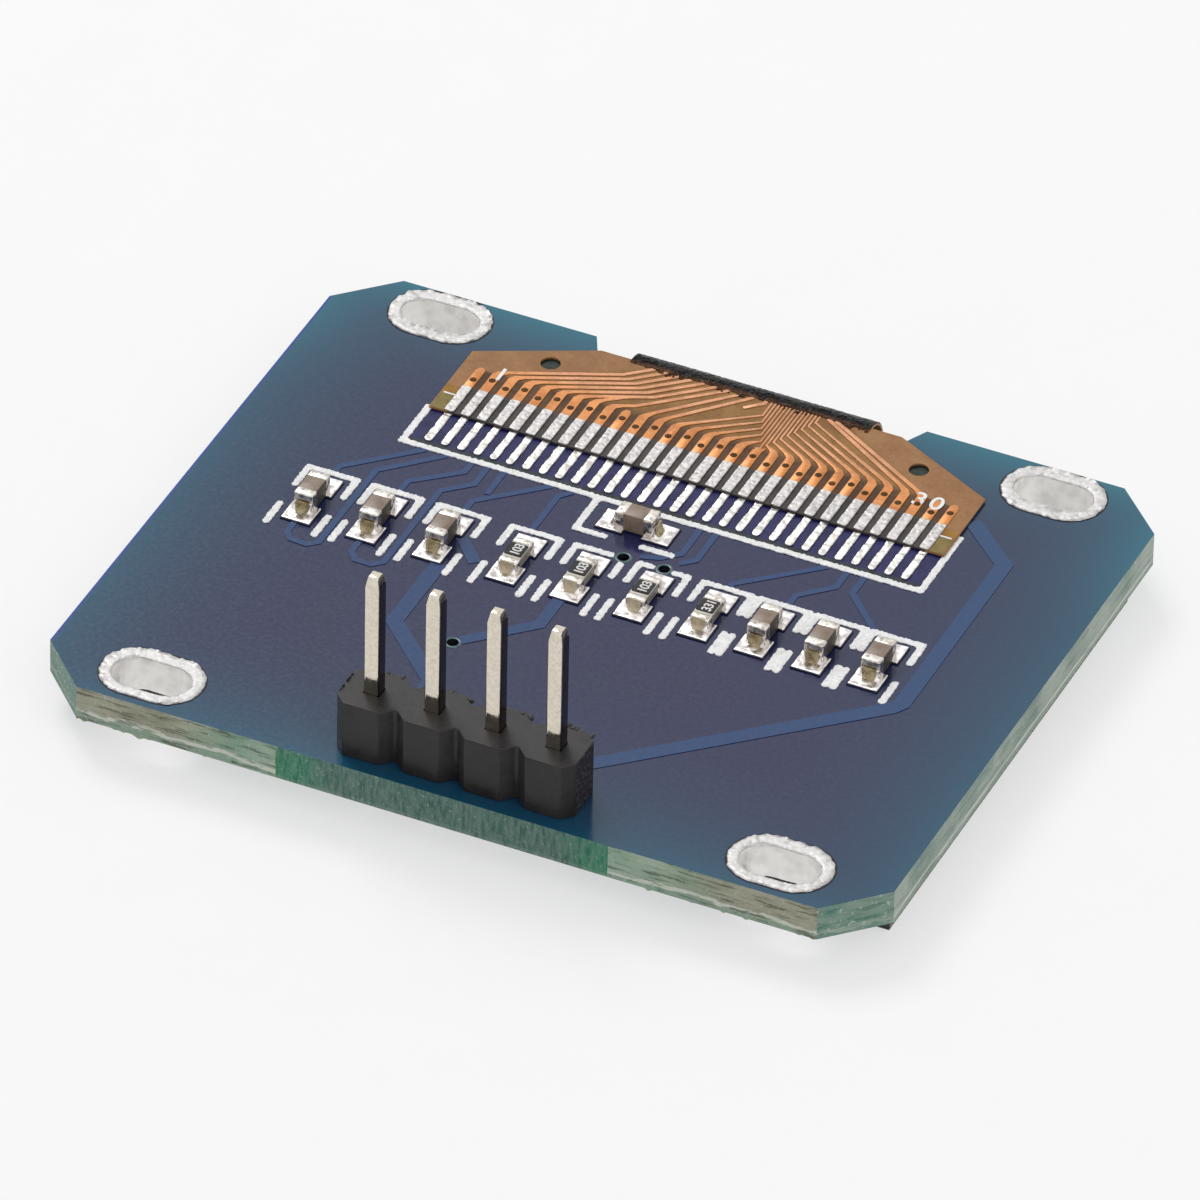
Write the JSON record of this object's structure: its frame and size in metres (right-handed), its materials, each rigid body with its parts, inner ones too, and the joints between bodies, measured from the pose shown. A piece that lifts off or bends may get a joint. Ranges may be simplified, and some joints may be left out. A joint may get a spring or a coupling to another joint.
{
  "type": "small oled display module",
  "caption": "Slim rectangular board with slotted corner holes, an upright pin header, chips, and a folded flex tail to a display panel beneath.",
  "frame": {"origin": "on the display's front face, under the middle of the board outline", "axes": "+X along the pin row, +Y from the header edge to the folded tail, +Z out of the chip side"},
  "size_m": [0.0354, 0.0294, 0.0107],
  "materials": {
    "board": "blue masked fibreglass",
    "housing": "moulded black",
    "pin": "tin plated",
    "solder": "bright solder",
    "ceramic": "fired ceramic",
    "alumina": "white ceramic",
    "glaze": "black glaze",
    "film": "polyimide film",
    "coating": "black gloss coat",
    "copper": "etched copper",
    "print": "white ink",
    "mask": "blue mask over copper",
    "glass": "dark display glass",
    "polariser": "dark polarising film",
    "pixels": "dark emitting layer",
    "adhesive": "foam tape",
    "silicon": "polished silicon"
  },
  "bodies": {
    "root": {"bend_coating": "coating", "capacitor_1_body": "ceramic", "capacitor_1_ends": "solder", "capacitor_2_body": "ceramic", "capacitor_2_ends": "solder", "capacitor_3_body": "ceramic", "capacitor_3_ends": "solder", "capacitor_4_body": "ceramic", "capacitor_4_ends": "solder", "capacitor_5_body": "ceramic", "capacitor_5_ends": "solder", "capacitor_6_body": "ceramic", "capacitor_6_ends": "solder", "capacitor_7_body": "ceramic", "capacitor_7_ends": "solder", "chip_pads": "solder", "chip_solder": "solder", "circuit_board": "board", "display_driver_chip": "silicon", "display_edge_seal": "adhesive", "display_front_glass": "glass", "display_pixel_layer": "pixels", "display_polariser": "polariser", "display_rear_glass": "glass", "flex_film": "film", "header_housing": "housing", "header_pin_1": "pin", "header_pin_2": "pin", "header_pin_3": "pin", "header_pin_4": "pin", "mask_lines": "mask", "mounting_tape": "adhesive", "pin_solder_1": "solder", "pin_solder_2": "solder", "pin_solder_3": "solder", "pin_solder_4": "solder", "resistor_1_body": "alumina", "resistor_1_ends": "solder", "resistor_1_glaze": "glaze", "resistor_2_body": "alumina", "resistor_2_ends": "solder", "resistor_2_glaze": "glaze", "resistor_3_body": "alumina", "resistor_3_ends": "solder", "resistor_3_glaze": "glaze", "resistor_4_body": "alumina", "resistor_4_ends": "solder", "resistor_4_glaze": "glaze", "slot_lining_far_left": "solder", "slot_lining_far_right": "solder", "slot_lining_near_left": "solder", "slot_lining_near_right": "solder", "tail_copper": "copper", "tail_fingers": "solder", "tail_lands": "solder", "via_linings": "solder", "white_print": "print"}
  },
  "joints": []
}
